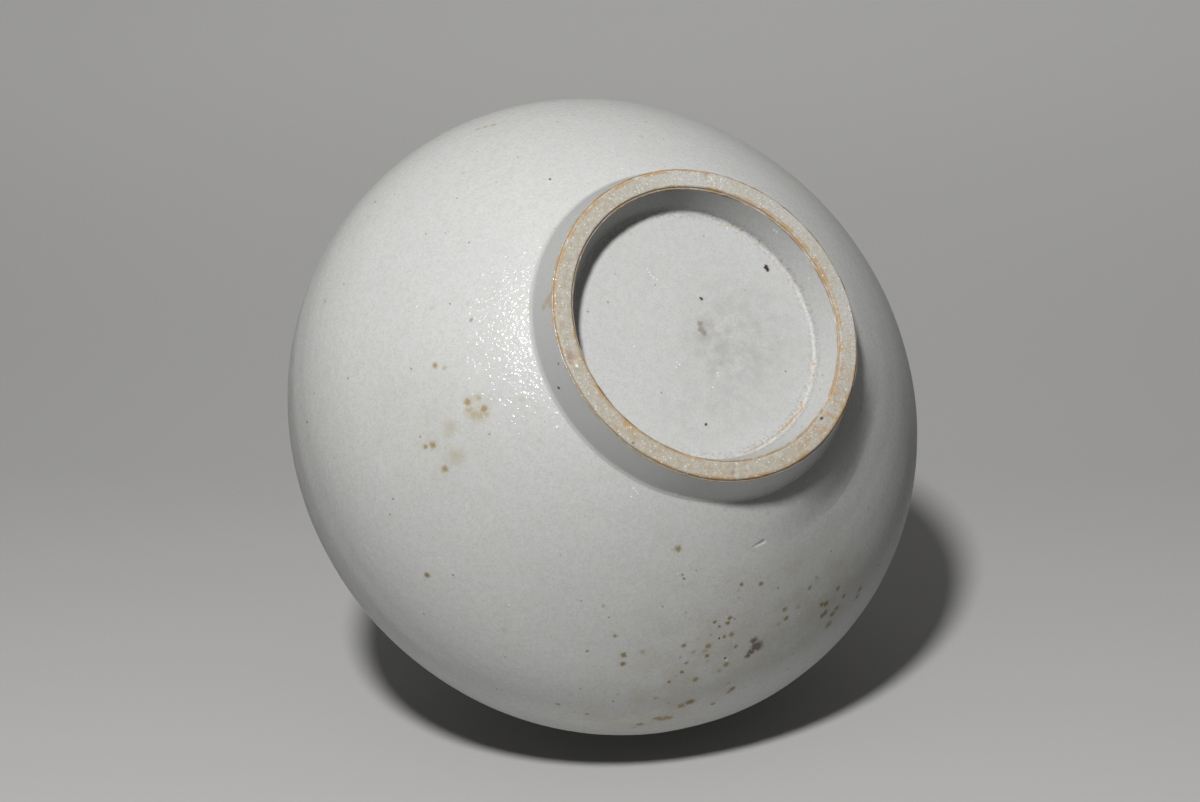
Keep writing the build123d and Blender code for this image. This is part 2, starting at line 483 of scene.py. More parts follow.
def draw_outer_glaze():
    """Glaze over the outside, from just above the standing pad to the crest of the lip."""
    clay_edge = on_wall(pad_outer, foot_wall, bare_edge)
    skin_edge = clay_edge + foot_outward * glaze
    flank_skin = lower_flank_radius + glaze
    foot_pool_centre = pool_round(skin_edge, foot_wall, lower_flank, flank_skin, foot_pool, -1)
    neck_skin = neck_end + collar_outward * glaze
    shoulder_skin = upper_flank_radius + glaze
    neck_pool_centre = pool_round(neck_skin, collar_wall, upper_flank, shoulder_skin, neck_pool, 1)
    lip_low = lip_height - lip_round
    lip_centre = on_wall(neck_end - collar_outward * lip_round, collar_wall, lip_low)
    crest = Vector((lip_centre.x, lip_height + glaze - crest_gap))
    pen = SectionPen("outer_glaze_skin", clay_edge)
    pen.line_to(skin_edge + foot_wall * edge_lip, 2)
    pen.line_to(foot_pool_centre - foot_outward * foot_pool, 12)
    to_flank = (lower_flank - foot_pool_centre).normalized()
    pen.arc_to(foot_pool_centre, to_flank, 8)
    pen.arc_to(lower_flank, below_belly, 80)
    pen.arc_to(lower_belly, outward, 42)
    pen.line_to(Vector((belly_radius + glaze, upper_rim_height)))
    pen.arc_to(upper_belly, above_belly, 42)
    to_shoulder = (neck_pool_centre - upper_flank).normalized()
    pen.arc_to(upper_flank, to_shoulder, 64)
    pen.arc_to(neck_pool_centre, -collar_outward, 7)
    pen.line_to(lip_centre + collar_outward * (lip_round + glaze), 9)
    pen.arc_to(lip_centre, crest - lip_centre, 8)
    pen.mark_face()
    pen.line_to(Vector((lip_centre.x, lip_height)))
    pen.arc_to(lip_centre, collar_outward, 3)
    pen.line_to(neck_end, 2)
    pen.arc_to(upper_flank, above_belly, 8)
    pen.arc_to(upper_belly, outward, 5)
    pen.line_to(Vector((belly_radius, lower_rim_height)))
    pen.arc_to(lower_belly, below_belly, 5)
    pen.arc_to(lower_flank, foot_end - lower_flank, 8)
    pen.line_to(clay_edge)
    return pen.turn(outer_segments)


def crossing(first, first_radius, second, second_radius, side):
    """Where two arcs of the section cross, above (1) or below (-1) the line between their centres."""
    between = second - first
    along = (first_radius**2 - second_radius**2 + between.length_squared) / (2 * between.length)
    aside = sqrt(first_radius**2 - along**2)
    direction = between.normalized()
    return first + direction * along + Vector((-direction.y, direction.x)) * aside * side


def draw_inner_glaze():
    """Glaze over the inside, from the crest of the lip, over the bead, to the middle of the floor."""
    lip_low = lip_height - lip_round
    crest = Vector((on_wall(neck_end - collar_outward * lip_round, collar_wall, lip_low).x, lip_height))
    wall = Vector((lip_flare + neck_wall - lip_wall, lip_height - shoulder_height)).normalized()
    inward = Vector((-wall.y, wall.x))
    mouth_end = Vector((mouth_radius, shoulder_height))
    lip_centre = on_wall(mouth_end - inward * lip_round, wall, lip_low)
    shoulder_in = upper_flank_radius - upper_wall
    mouth_drop = sqrt(shoulder_in**2 - (mouth_radius - upper_flank.x) ** 2)
    mouth_low = Vector((mouth_radius, upper_flank.y + mouth_drop))
    to_mouth = (mouth_low - upper_flank).normalized()
    bead_centre = Vector((belly_radius - lower_wall, seam_height + lower_wall * tan(seam_bevel)))
    blend_height = floor_height + floor_blend
    blend_reach = lower_flank_radius - lower_wall - floor_blend
    blend_run = sqrt(blend_reach**2 - (blend_height - lower_flank.y) ** 2)
    blend_centre = Vector((lower_flank.x + blend_run, blend_height))
    to_blend = (blend_centre - lower_flank).normalized()
    bead = seam_bead + glaze
    bead_top = crossing(upper_belly, belly_arc - upper_wall - glaze, bead_centre, bead, 1)
    bead_foot = crossing(lower_belly, belly_arc - lower_wall - glaze, bead_centre, bead, -1)
    top = upward * (glaze - crest_gap)
    pen = SectionPen("inner_glaze_skin", crest + top)
    pen.line_to(lip_centre + upward * lip_round + top)
    pen.arc_to(lip_centre, inward, 12)
    pen.line_to(mouth_end + inward * glaze, 10)
    pen.line_to(mouth_low + Vector((-glaze, -glaze / 2)), 4)
    pen.line_to(upper_flank + to_mouth * (shoulder_in - glaze))
    pen.arc_to(upper_flank, above_belly, 28)
    pen.arc_to(upper_belly, bead_top - upper_belly, 18)
    pen.arc_to(bead_centre, -outward, 6)
    pen.arc_to(bead_centre, bead_foot - bead_centre, 6)
    pen.arc_to(lower_belly, below_belly, 20)
    pen.arc_to(lower_flank, to_blend, 28)
    pen.arc_to(blend_centre, -upward, 20)
    pen.line_to(Vector((0, floor_height + glaze)), 24)
    pen.mark_face()
    bead_top = crossing(upper_belly, belly_arc - upper_wall, bead_centre, seam_bead, 1)
    bead_foot = crossing(lower_belly, belly_arc - lower_wall, bead_centre, seam_bead, -1)
    pen.line_to(Vector((0, floor_height)))
    pen.line_to(Vector((blend_centre.x, floor_height)), 4)
    pen.arc_to(blend_centre, to_blend, 5)
    pen.arc_to(lower_flank, below_belly, 7)
    pen.arc_to(lower_belly, bead_foot - lower_belly, 5)
    pen.arc_to(bead_centre, -outward, 3)
    pen.arc_to(bead_centre, bead_top - bead_centre, 3)
    pen.arc_to(upper_belly, above_belly, 5)
    pen.arc_to(upper_flank, mouth_low - upper_flank, 7)
    pen.line_to(mouth_end)
    pen.line_to(lip_centre + inward * lip_round)
    pen.arc_to(lip_centre, upward, 3)
    pen.line_to(crest)
    pen.line_to(crest + top)
    return pen.turn(inner_segments)


def draw_well_glaze():
    """Glaze over the well floor and the inner wall of the foot ring."""
    clay_edge = on_wall(pad_inner, well_wall, bare_edge)
    skin_edge = clay_edge + well_outward * glaze
    ceiling = foot_height - glaze
    pool_low = ceiling - well_pool
    pool_centre = on_wall(skin_edge + well_outward * well_pool, well_wall, pool_low)
    pen = SectionPen("foot_well_glaze_skin", clay_edge)
    pen.line_to(skin_edge + well_wall * edge_lip, 2)
    pen.line_to(pool_centre - well_outward * well_pool, 16)
    pen.arc_to(pool_centre, upward, 8)
    pen.line_to(Vector((0, ceiling)), 60)
    pen.mark_face()
    pen.line_to(Vector((0, foot_height)))
    pen.line_to(well_end, 8)
    pen.line_to(clay_edge, 2)
    return pen.turn(well_segments)


def draw_foot_ring():
    """The foot ring itself: bare on its standing pad, with softened edges."""
    ring_top = foot_height - foot_slip
    outer_base = pad_outer - foot_outward * pad_edge_round
    inner_base = pad_inner - well_outward * pad_edge_round
    outer_round = on_wall(outer_base, foot_wall, pad_edge_round)
    inner_round = on_wall(inner_base, well_wall, pad_edge_round)
    pen = SectionPen("foot_ring_clay", on_wall(well_end, well_wall, ring_top))
    pen.line_to(inner_round + well_outward * pad_edge_round, 4)
    pen.arc_to(inner_round, -upward, 6)
    pen.line_to(outer_round - upward * pad_edge_round, 18)
    pen.arc_to(outer_round, foot_outward, 6)
    pen.line_to(on_wall(foot_end, foot_wall, ring_top), 4)
    pen.mark_face()
    pen.line_to(on_wall(well_end, well_wall, ring_top), 3)
    return pen.turn(ring_segments)


def soften_with_texture(piece, name, size, depth):
    """Push the showing side in unevenly, the way a hand and a kiln leave it."""
    pattern = bpy.data.textures.new(name, "CLOUDS")
    pattern.noise_scale = size
    pattern.noise_depth = 2
    push = piece.modifiers.new(name, "DISPLACE")
    push.texture = pattern
    push.texture_coords = "LOCAL"
    push.strength = depth
    push.mid_level = 1.0
    push.vertex_group = "face"
    activate(piece)
    bpy.ops.object.modifier_apply(modifier=name)


def score_turning_rings(piece):
    """Faint rings from the wheel, and the soft band where the two bowls were joined."""
    face = piece.vertex_groups["face"].index
    for vertex in piece.data.vertices:
        height = vertex.co.z
        reach = vertex.co.xy.length
        shows = face in [group.group for group in vertex.groups]
        if shows and foot_height < height < shoulder_height:
            along = abs(height - seam_height) + flank_share * (belly_radius - reach)
            ring = ring_depth * (0.5 + 0.5 * sin(2 * pi * along / ring_pitch))
            band = band_depth * (0.5 + 0.5 * sin(2 * pi * along / band_pitch))
            band *= (belly_radius - min(reach, belly_radius)) / (belly_radius - foot_top_radius)
            from_seam = abs(height - seam_height) / seam_band
            seam = seam_dip * from_seam**2 * exp(1 - from_seam**2)
            vertex.co.xy *= 1 - ((ring + band) * min(1, from_seam) + seam) / reach


def near_share(distance, reach):
    """1 at no distance, falling smoothly to 0 at the reach."""
    share = max(0.0, 1 - distance / reach)
    return share * share * (3 - 2 * share)


def slump(piece, middle, inward):
    """The lower bowl sank a little beside the foot while it was soft."""
    foot_edge = foot_top_radius + foot_pool
    for vertex in piece.data.vertices:
        off_foot = 1 - near_share(max(0.0, vertex.co.xy.length - foot_edge), slump_start)
        sunk = slump_depth * near_share((vertex.co - middle).length, slump_reach)
        vertex.co += inward * sunk * off_foot


def refine(piece, middle, reach, cuts):
    """Divide the faces round a place more finely."""
    activate(piece)
    bpy.ops.object.mode_set(mode="EDIT")
    bpy.ops.mesh.select_mode(type="FACE")
    bpy.ops.mesh.select_all(action="DESELECT")
    shape = bmesh.from_edit_mesh(piece.data)
    for face in shape.faces:
        face.select_set((face.calc_center_median() - middle).length < reach)
    shape.select_flush_mode()
    bpy.ops.mesh.subdivide(number_cuts=cuts)
    bpy.ops.mesh.select_mode(type="VERT")
    bpy.ops.object.mode_set(mode="OBJECT")


def press_line(piece, start, end, inward, reach, depth):
    """Press a short nick into a piece, deeper and wider towards its end."""
    run = end - start
    for vertex in piece.data.vertices:
        along = min(1.0, max(0.0, (vertex.co - start).dot(run) / run.length_squared))
        distance = (vertex.co - start - run * along).length
        deep = depth * (cut_start_share + (1 - cut_start_share) * along)
        wide = reach * (cut_start_width + (1 - cut_start_width) * along)
        vertex.co += inward * deep * near_share(distance, wide)


def wave_glaze_edge(piece, start):
    """The glaze was wiped by hand, so its edge above the pad wanders."""
    for vertex in piece.data.vertices:
        if vertex.co.z < bare_edge + glaze:
            heading = atan2(vertex.co.y, vertex.co.x)
            round_jar = Vector((cos(heading), sin(heading), 0))
            wave = noise.noise(edge_waves * round_jar + start)
            ripple = noise.noise(edge_ripples * round_jar + edge_ripple_start)
            vertex.co.z += edge_swing * (wave + ripple_share * ripple)


def make_kiln_cage():
    """A cage that draws the jar slightly out of round, most at the foot and the belly."""
    bpy.ops.object.select_all(action="DESELECT")
    bpy.ops.object.add(type="LATTICE", location=(0, 0, lip_height / 2))
    cage = bpy.context.object
    cage.name = "kiln_cage"
    cage.scale = cage_size
    cage.data.points_u = 2
    cage.data.points_v = 2
    cage.data.points_w = len(oval_levels)
    cage.data.interpolation_type_u = "KEY_LINEAR"
    cage.data.interpolation_type_v = "KEY_LINEAR"
    cage.data.interpolation_type_w = "KEY_CATMULL_ROM"
    for index, point in enumerate(cage.data.points):
        corner = index % 4
        pull = oval * oval_levels[index // 4]
        stretch = 1 + pull if corner in (0, 3) else 1 - pull
        point.co_deform.x *= stretch
        point.co_deform.y *= stretch
    return cage


def warp(piece, cage):
    bend = piece.modifiers.new("kiln", "LATTICE")
    bend.object = cage
    activate(piece)
    bpy.ops.object.modifier_apply(modifier="kiln")


def copy_clay(node):
    """A merged copy of a clay node, to be warped with the rest of the jar."""
    activate(bpy.data.objects[node])
    bpy.ops.object.duplicate()
    piece = bpy.context.object
    piece.name = node + "_clay"
    piece.data.name = piece.name
    bpy.ops.object.mode_set(mode="EDIT")
    bpy.ops.mesh.select_all(action="SELECT")
    bpy.ops.mesh.remove_doubles(threshold=weld)
    bpy.ops.object.mode_set(mode="OBJECT")
    bpy.ops.object.shade_smooth_by_angle(angle=clay_soft_edge)
    return piece


# Camera
away = belly_centre_px - Vector((image_width / 2, image_height / 2))
focal_px = belly_radius_px * camera_distance / (belly_radius + glaze)
aside = sin(foot_tilt)
back = Vector((sin(camera_heading) * aside, -cos(camera_heading) * aside, -cos(foot_tilt)))
foot_up = (Vector((0, 0, -1)) - back * cos(foot_tilt)).normalized()
foot_side = foot_up.cross(back)
right = foot_up * cos(foot_lean) + foot_side * sin(foot_lean)
up = foot_up * sin(foot_lean) - foot_side * cos(foot_lean)
belly_centre = Vector((0, 0, seam_height))
per_px = camera_distance / focal_px
eye = belly_centre - right * away.x * per_px + up * away.y * per_px + back * camera_distance
floor_up = up * cos(camera_over_floor) + back * sin(camera_over_floor)
floor_up = floor_up * cos(floor_roll) + right * sin(floor_roll)


def sight(x, y):
    """Direction from the camera through a point of the photograph."""
    across = (x - image_width / 2) / focal_px
    rise = (image_height / 2 - y) / focal_px
    return (right * across + up * rise - back).normalized()


def sight_trees(pieces):
    """The pieces that the photograph shows, ready to be looked at."""
    trees = {}
    for piece in pieces:
        shape = bmesh.new()
        shape.from_mesh(piece.data)
        trees[piece] = BVHTree.FromBMesh(shape)
        shape.free()
    return trees


def look(trees, x, y):
    """Piece, point and direction out of the piece that a point of the photograph shows."""
    hits = [(piece, tree.ray_cast(eye, sight(x, y))) for piece, tree in trees.items()]
    hits = [(piece, hit) for piece, hit in hits if hit[0]]
    piece, hit = min(hits, key=lambda found: found[1][3])
    return piece, hit[0], hit[1]


def look_all(trees, places):
    """Points of the jar, reaches and depths, from places in the photograph."""
    return [(look(trees, x, y)[1], reach * mm, depth) for x, y, reach, depth in places]


def place_camera():
    camera = bpy.data.objects.new("photo_camera", bpy.data.cameras.new("photo_camera"))
    camera.data.sensor_width = sensor_mm
    camera.data.lens = sensor_mm * focal_px / image_width
    camera.data.clip_start = camera_near
    axes = Matrix((right, up, back)).transposed().to_4x4()
    camera.matrix_world = Matrix.Translation(eye) @ axes
    bpy.context.collection.objects.link(camera)
    bpy.context.scene.camera = camera


def place_floor(pieces):
    """The pale floor under the jar, which rests on its shoulder as in the photograph."""
    level = min(floor_up.dot(vertex.co) for piece in pieces for vertex in piece.data.vertices)
    bpy.ops.object.select_all(action="DESELECT")
    bpy.ops.mesh.primitive_plane_add(size=1)
    floor = bpy.context.object
    floor.name = "floor"
    bpy.ops.object.mode_set(mode="EDIT")
    depth = floor_front + sweep_start
    bpy.ops.transform.resize(value=(floor_width, depth, 1))
    bpy.ops.transform.translate(value=(0, sweep_start - depth / 2, 0))
    sheet = bmesh.from_edit_mesh(floor.data)
    for corner in sheet.verts:
        corner.select_set(corner.co.y > 0)
    sheet.select_flush_mode()
    sweep_middle = (0, sweep_start, sweep_radius)
    bpy.ops.mesh.spin(steps=sweep_steps, angle=-sweep_turn, center=sweep_middle, axis=(1, 0, 0))
    bpy.ops.object.mode_set(mode="OBJECT")
    bpy.ops.object.shade_smooth()
    forward = (up - floor_up * up.dot(floor_up)).normalized()
    axes = Matrix((forward.cross(floor_up), forward, floor_up)).transposed().to_4x4()
    middle = belly_centre - floor_up * (floor_up.dot(belly_centre) - level)
    floor.matrix_world = Matrix.Translation(middle) @ axes
    floor.visible_diffuse = False
    return floor


def place_lamp(name, place, size, watts, bounces=0):
    """A round lamp that faces the jar, placed as the camera sees it from the belly's middle."""
    toward = right * place[0] + up * place[1] + back * place[2]
    lamp = bpy.data.objects.new(name, bpy.data.lights.new(name, "AREA"))
    lamp.data.shape = "DISK"
    lamp.data.size = size
    lamp.data.energy = watts
    lamp.data.cycles.max_bounces = bounces
    spot = belly_centre + toward
    lamp.matrix_world = Matrix.Translation(spot) @ toward.to_track_quat("Z", "Y").to_matrix().to_4x4()
    bpy.context.collection.objects.link(lamp)
    return lamp


def place_mouth_lamp():
    """A narrow lamp over the mouth, whose light goes inside and nowhere else."""
    lamp = bpy.data.objects.new("mouth_lamp", bpy.data.lights.new("mouth_lamp", "SPOT"))
    lamp.location = (0, 0, lip_height + mouth_lamp_height)
    lamp.data.energy = mouth_lamp_watts
    lamp.data.spot_size = 2 * atan2(mouth_lamp_spread * mouth_radius, mouth_lamp_height)
    lamp.data.spot_blend = mouth_lamp_blend
    lamp.data.shadow_soft_size = mouth_lamp_softness
    lamp.data.cycles.max_bounces = mouth_lamp_bounces
    bpy.context.collection.objects.link(lamp)
    return lamp


def shine_through(lamp, floor):
    """Let a lamp light the jar as if the floor weren't in its way, and stay out of the glaze's shine."""
    lamp.visible_glossy = False
    not_in_the_way = bpy.data.collections.new("not_in_the_way")
    not_in_the_way.objects.link(floor)
    lamp.light_linking.blocker_collection = not_in_the_way
    not_in_the_way.collection_objects[0].light_linking.link_state = "EXCLUDE"


class Recipe:
    """Nodes of a finish or of the room, with short ways to add what they are mixed from."""

    def __init__(self, owner, coordinates="Object"):
        owner.use_nodes = True
        self.owner = owner
        self.nodes = owner.node_tree.nodes
        self.links = owner.node_tree.links
        self.shader = self.nodes.get("Principled BSDF")
        self.place = self.add("ShaderNodeTexCoord").outputs[coordinates]

    def add(self, kind, values=None, **settings):
        node = self.nodes.new(kind)
        for name, setting in settings.items():
            setattr(node, name, setting)
        for name, value in (values or {}).items():
            self.put(value, node.inputs[name])
        return node

    def put(self, value, socket):
        if isinstance(value, bpy.types.NodeSocket):
            self.links.new(value, socket)
        else:
            socket.default_value = value

    def shade(self, name, value):
        """Give the finish's own shader a value or a pattern."""
        self.put(value, self.shader.inputs[name])

    def noise(self, size, detail=2.0, roughness=0.5, output="Fac"):
        """Cloudy pattern whose patches are about the given size."""
        values = {"Vector": self.place, "Scale": 1 / size, "Detail": detail, "Roughness": roughness}
        return self.add("ShaderNodeTexNoise", values).outputs[output]

    def cells(self, size, place, output="Distance"):
        """Distance to the nearest of many scattered points, or that point's own chance colour."""
        return self.add("ShaderNodeTexVoronoi", {"Vector": place, "Scale": 1 / size}).outputs[output]

    def ramp(self, value, start, end, low=0.0, high=1.0):
        values = {"Value": value, "From Min": start, "From Max": end, "To Min": low, "To Max": high}
        return self.add("ShaderNodeMapRange", values, interpolation_type="SMOOTHSTEP").outputs["Result"]

    def combine(self, kind, first, second):
        return self.add("ShaderNodeMath", {0: first, 1: second}, operation=kind).outputs["Value"]

    def times(self, first, second):
        return self.combine("MULTIPLY", first, second)

    def vector(self, kind, first, second=(0, 0, 0), output="Vector"):
        return self.add("ShaderNodeVectorMath", {0: first, 1: second}, operation=kind).outputs[output]

    def height(self, place=None):
        return self.add("ShaderNodeSeparateXYZ", {"Vector": place or self.place}).outputs["Z"]

    def from_axis(self, place):
        """Distance of a place from the jar's axis."""
        return self.vector("LENGTH", self.vector("MULTIPLY", place, (1, 1, 0)), output="Value")

    def mix(self, amount, first, second):
        return self.add("ShaderNodeMix", {0: amount, 6: first, 7: second}, data_type="RGBA").outputs[2]

    def near(self, middle, reach):
        """1 at a point of the jar, 0 further away than reach."""
        return self.ramp(self.vector("DISTANCE", self.place, middle, "Value"), reach, 0)

    def attribute(self, name, output):
        return self.add("ShaderNodeAttribute", attribute_name=name).outputs[output]

    def wandering(self, size, amount):
        """The place, shifted a little, so that edges drawn with it wander."""
        centred = self.vector("SUBTRACT", self.noise(size, 3.0, output="Color"), (0.5, 0.5, 0.5))
        shift = self.add("ShaderNodeVectorMath", {0: centred, "Scale": amount}, operation="SCALE")
        return self.vector("ADD", self.place, shift.outputs["Vector"])

    def bump(self, height, depth, under=None):
        node = self.add("ShaderNodeBump", {"Height": height, "Distance": depth, "Strength": 1.0})
        if under:
            self.put(under, node.inputs["Normal"])
        return node.outputs["Normal"]


def new_finish(name):
    return Recipe(bpy.data.materials.new(name))


def spot_marks(piece, marks):
    """Tell each face of a piece which mark, a kiln mark or a painted pit glint, lies nearest to it."""
    kinds = {"mark_middle": "FLOAT_VECTOR", "mark_colour": "FLOAT_COLOR"}
    kinds |= {"mark_reach": "FLOAT", "mark_halo": "FLOAT"}
    for name, kind in kinds.items():
        piece.data.attributes.new(name, kind, "FACE")
    middles, colours, reaches, halos = (piece.data.attributes[name].data for name in kinds)
    finder = KDTree(len(marks))
    for index, mark in enumerate(marks):
        finder.insert(mark[0], index)
    finder.balance()
    for face in piece.data.polygons:
        close = [marks[index] for _, index, _ in finder.find_n(face.center, 4)]
        mark = min(close, key=lambda mark: (mark[0] - face.center).length - mark[1])
        middles[face.index].vector, reaches[face.index].value = mark[:2]
        colours[face.index].color, halos[face.index].value = mark[2:]


def burnt_marks(finish, colour):
    """Iron spots where the kiln marked the piece, a burnt middle in a paler, yellower halo; the same
    marks also carry the painted glints of pits.
    """
    reach = finish.attribute("mark_reach", "Fac")
    raggedness = finish.combine("MINIMUM", finish.times(reach, ragged_share), most_ragged)
    place = finish.wandering(ragged_size, raggedness)
    middle = finish.attribute("mark_middle", "Vector")
    share = finish.combine("DIVIDE", finish.vector("DISTANCE", place, middle, "Value"), reach)
    softness = finish.attribute("mark_halo", "Fac")
    halo = finish.times(finish.ramp(share, 2.6, 0.8), softness)
    colour = finish.mix(halo, colour, halo_olive)
    burnt = finish.ramp(share, finish.combine("ADD", softness, 1.2), 0.5)
    cover = finish.times(burnt, finish.attribute("mark_colour", "Alpha"))
    return finish.mix(cover, colour, finish.attribute("mark_colour", "Color"))


def glaze_base(finish, pale, cool):
    """Cloudy white of the glaze, finely mottled."""
    clouds = finish.noise(cloud_size, 3.0, 0.55)
    colour = finish.mix(finish.ramp(clouds, 0.3, 0.7), pale, cool)
    mottle = finish.ramp(finish.noise(mottle_size, 4.0, 0.65), 0.35, 0.75)
    colour = finish.mix(finish.times(mottle, mottle_share), colour, warm_glaze)
    curdle = finish.ramp(finish.noise(curdle_size, 3.0, 0.65), 0.4, 0.7)
    colour = finish.mix(finish.times(curdle, curdle_share), colour, grain_grey)
    grain = finish.ramp(finish.noise(grain_size, 2.0, 0.6), 0.45, 0.75)
    return finish.mix(finish.times(grain, grain_share), colour, grain_grey)


def toasted_edge(finish, colour):
    """Tan line, broken here and there, where the glaze was wiped back from the pad."""
    height = finish.height(finish.wandering(4 * mm, 1.2 * mm))
    broken = finish.ramp(finish.noise(6 * mm, 4.0, 0.6), 0.3, 0.55, 0.3, 0.95)
    edge = finish.ramp(height, 1.9 * mm, 1.1 * mm)
    return finish.mix(finish.times(edge, broken), colour, edge_tan)


def glaze_skin(finish, peel_size, peel_depth, shine, pits=None):
    """Clear glaze with an orange-peel surface, pitted in places, over a softly lit body."""
    finish.shade("Roughness", finish.ramp(finish.noise(6 * mm, 3.0), 0.3, 0.7, 0.42, 0.52))
    finish.shade("Normal", finish.bump(finish.noise(0.7 * mm, 2.0), 0.012 * mm))
    finish.shade("Specular IOR Level", glaze_shine)
    finish.shade("Coat Weight", coat_weight)
    finish.shade("Coat Roughness", shine)
    pitted = finish.bump(pits, pit_depth) if pits else None
    peel = finish.bump(finish.noise(peel_size, 1.0, 0.4), peel_depth, under=pitted)
    finish.shade("Coat Normal", peel)


def stained(finish, colour, stains, stain_colour, blotch_size):
    """Broad stains, broken up into blotches."""
    blotch = finish.ramp(finish.noise(blotch_size, 5.0, 0.65), 0.3, 0.7)
    for middle, reach, depth in stains:
        amount = finish.times(finish.near(middle, reach), blotch)
        colour = finish.mix(finish.times(amount, depth), colour, stain_colour)
    return colour


def scattered(finish, colour, spacing, reach, dots):
    """Small dots of chance strength, on about half of many points the given spacing apart."""
    place = finish.wandering(3 * reach, reach)
    dot = finish.ramp(finish.cells(spacing, place), reach / spacing, 0.4 * reach / spacing)
    strength = finish.ramp(finish.cells(spacing, place, "Color"), 0.48, 0.72)
    return finish.mix(finish.times(dot, strength), colour, dots)


def peppered(finish, colour):
    """Dark pinpoints, pale pinpoints painted as the glints of tiny pits, and faint freckles all over the
    glaze.
    """
    colour = scattered(finish, colour, *freckles, freckle_tan)
    colour = scattered(finish, colour, *pinpoint_glints, pinpoint_glint_white)
    return scattered(finish, colour, *dark_pinpoints, pepper_colour)


def outer_finish(stains):
    """White glaze of the outside, greyer on the foot wall where it ran and gathered."""
    finish = new_finish("outer_white_glaze")
    colour = glaze_base(finish, glaze_pale, glaze_cool)
    on_foot = finish.ramp(finish.height(), foot_height + 1 * mm, foot_height - 2 * mm)
    colour = finish.mix(finish.times(on_foot, 0.8), colour, foot_wall_grey)
    colour = peppered(finish, stained(finish, colour, stains, stain_yellow, stain_blotch))
    colour = burnt_marks(finish, toasted_edge(finish, colour))
    finish.shade("Base Color", colour)
    glaze_skin(finish, *outer_peel)
    return finish.owner


def well_finish(stains):
    """White glaze of the foot well, smudged, with broad grey patches of painted shade on its floor, and
    greyer specks and pits where the floor meets the wall.
    """
    finish = new_finish("well_white_glaze")
    colour = glaze_base(finish, well_pale, glaze_cool)
    # The well's stains are real smudges together with broad patches of painted shade
    colour = peppered(finish, stained(finish, colour, stains, smudge_and_shade_grey, smudge_and_shade_blotch))
    low_wall = finish.ramp(finish.height(), foot_height - 5 * mm, foot_height - 3 * mm)
    floor_edge = finish.ramp(finish.from_axis(finish.place), well_radius - 4 * mm, well_radius - 2.5 * mm)
    corner = finish.times(low_wall, floor_edge)
    grain = finish.noise(1.3 * mm, 2.0)
    # Greyer specks in the ring where the floor meets the wall
    corner_grey_specks = finish.times(corner, finish.ramp(grain, 0.45, 0.6, 0.0, 0.45))
    colour = burnt_marks(finish, toasted_edge(finish, finish.mix(corner_grey_specks, colour, smudge_and_shade_grey)))
    finish.shade("Base Color", colour)
    pits = finish.times(corner, finish.combine("SUBTRACT", grain, 0.5))
    glaze_skin(finish, *well_peel, pits)
    return finish.owner


def inner_finish():
    """White glaze of the inside."""
    finish = new_finish("inner_white_glaze")
    finish.shade("Base Color", peppered(finish, glaze_base(finish, glaze_pale, glaze_cool)))
    glaze_skin(finish, *inner_peel)
    return finish.owner


def bare_clay_finish(patches, cleans):
    """Unglazed porcelain of the standing pad: gritty, sparkling, flashed orange along both edges."""
    finish = new_finish("bare_foot_clay")
    body = finish.ramp(finish.noise(3 * mm, 4.0, 0.6), 0.3, 0.7)
    colour = finish.mix(body, bare_buff, bare_white)
    for middle, reach, depth in cleans:
        amount = finish.times(finish.near(middle, reach), depth)
        colour = finish.mix(amount, colour, clean_white)
    grit = finish.ramp(finish.noise(1.0 * mm, 3.0, 0.7), 0.45, 0.62)
    colour = finish.mix(finish.times(grit, 0.55), colour, grit_grey)
    radius = finish.from_axis(finish.wandering(3 * mm, 1.6 * mm))
    inner_line = finish.ramp(radius, pad_inner_radius + 1.3 * mm, pad_inner_radius + 0.4 * mm)
    outer_line = finish.ramp(radius, pad_outer_radius - 1.1 * mm, pad_outer_radius - 0.3 * mm)
    lines = finish.combine("MAXIMUM", inner_line, outer_line)
    broken = finish.ramp(finish.noise(8 * mm, 4.0, 0.6), 0.38, 0.6, 0.1, 0.9)
    colour = finish.mix(finish.times(lines, broken), colour, flash_orange)
    blotch = finish.ramp(finish.noise(4.5 * mm, 4.0, 0.65), 0.46, 0.66)
    for middle, reach, depth in patches:
        amount = finish.times(finish.near(middle, reach), blotch)
        colour = finish.mix(finish.times(amount, depth), colour, flash_orange)
    loose = finish.wandering(0.8 * mm, 0.9 * mm)
    sand = finish.ramp(finish.cells(sand_spacing, loose), 0.36, 0.18)
    chosen = finish.ramp(finish.cells(sand_spacing, loose, "Color"), 0.62, 0.7)
    glint = finish.times(sand, chosen)
    colour = finish.mix(glint, colour, sand_white)
    finish.shade("Base Color", burnt_marks(finish, colour))
    finish.shade("Roughness", finish.ramp(glint, 0, 1, 0.62, 0.25))
    finish.shade("Normal", finish.bump(finish.noise(1.1 * mm, 3.0, 0.7), 0.25 * mm))
    return finish.owner


def clay_finish(name, pale, dark):
    """Fired clay that the glaze covers."""
    finish = new_finish(name)
    colour = finish.mix(finish.ramp(finish.noise(5 * mm, 4.0, 0.6), 0.3, 0.7), pale, dark)
    finish.shade("Base Color", colour)
    finish.shade("Roughness", finish.ramp(finish.noise(2 * mm, 3.0), 0.3, 0.7, 0.55, 0.75))
    finish.shade("Normal", finish.bump(finish.noise(0.8 * mm, 3.0), 0.08 * mm))
    return finish.owner


